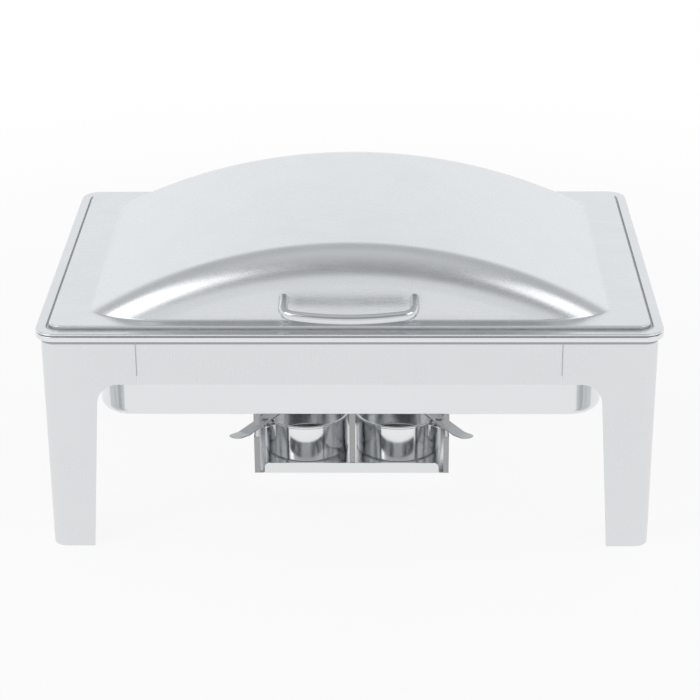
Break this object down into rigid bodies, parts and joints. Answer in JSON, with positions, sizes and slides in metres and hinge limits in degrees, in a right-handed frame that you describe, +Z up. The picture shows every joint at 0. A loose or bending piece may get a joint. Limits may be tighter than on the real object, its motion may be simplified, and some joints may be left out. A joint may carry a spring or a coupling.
{
  "type": "chafing dish",
  "caption": "Rectangular stainless chafing dish: hinged domed lid with bow handle, water pan and food pan on a four-legged stand, burner tray with fuel cups and dampers.",
  "frame": {"origin": "on the table, under the middle of the dish", "axes": "+Z up, +Y towards the lid's hinges, front with the lid handle towards -Y, +X to the right"},
  "size_m": [0.63, 0.4442, 0.3145],
  "materials": {
    "polished_steel": "polished stainless sheet",
    "satin_steel": "satin stainless sheet",
    "tray_steel": "plain stainless sheet",
    "fuel_steel": "spun stainless",
    "fitting_steel": "polished stainless rod and strip",
    "fastener_steel": "plain stainless"
  },
  "bodies": {
    "stand": {"leg_front_left": "satin_steel", "leg_front_right": "satin_steel", "leg_back_left": "satin_steel", "leg_back_right": "satin_steel", "apron_front": "satin_steel", "apron_back": "satin_steel", "apron_left": "satin_steel", "apron_right": "satin_steel", "seam_plates": "satin_steel", "burner_strap_front": "tray_steel", "burner_strap_back": "tray_steel", "strap_rivets": "fastener_steel", "burner_tray": "tray_steel", "tray_partition": "tray_steel", "tray_rivets": "fastener_steel", "fuel_cup_left": "fuel_steel", "fuel_cup_right": "fuel_steel", "cup_rivets": "fastener_steel", "damper_bracket_left": "tray_steel", "damper_bracket_right": "tray_steel", "damper_pivot_left": "fastener_steel", "damper_pivot_right": "fastener_steel"},
    "damper_left": {"damper_left": "fuel_steel"},
    "damper_right": {"damper_right": "fuel_steel"},
    "pan": {"water_pan": "polished_steel", "food_pan": "polished_steel", "hinge_base_left": "fitting_steel", "hinge_base_right": "fitting_steel", "hinge_pin_left": "fitting_steel", "hinge_pin_right": "fitting_steel", "hinge_base_rivets": "fastener_steel"},
    "lid": {"lid_shell": "polished_steel", "lid_handle": "fitting_steel", "handle_screws": "fastener_steel", "handle_washers": "fastener_steel", "hinge_leaf_left": "fitting_steel", "hinge_leaf_right": "fitting_steel", "hinge_leaf_rivets": "fastener_steel"}
  },
  "joints": [
    {"name": "damper_left_turn", "type": "hinge", "parent": "stand", "child": "damper_left", "pos_m": [-0.09577, -0.0302, 0.0631], "axis": [0, 0, 1], "range_deg": [-26, 34]},
    {"name": "damper_right_turn", "type": "hinge", "parent": "stand", "child": "damper_right", "pos_m": [0.09577, -0.0302, 0.0631], "axis": [0, 0, 1], "range_deg": [-34, 26]},
    {"name": "pan_lift", "type": "slide", "parent": "stand", "child": "pan", "axis": [0, 0, 1], "range_m": [0, 0.12]},
    {"name": "lid_hinge", "type": "hinge", "parent": "pan", "child": "lid", "pos_m": [0, 0.214, 0.244], "axis": [-1, 0, 0], "range_deg": [0, 95]}
  ]
}
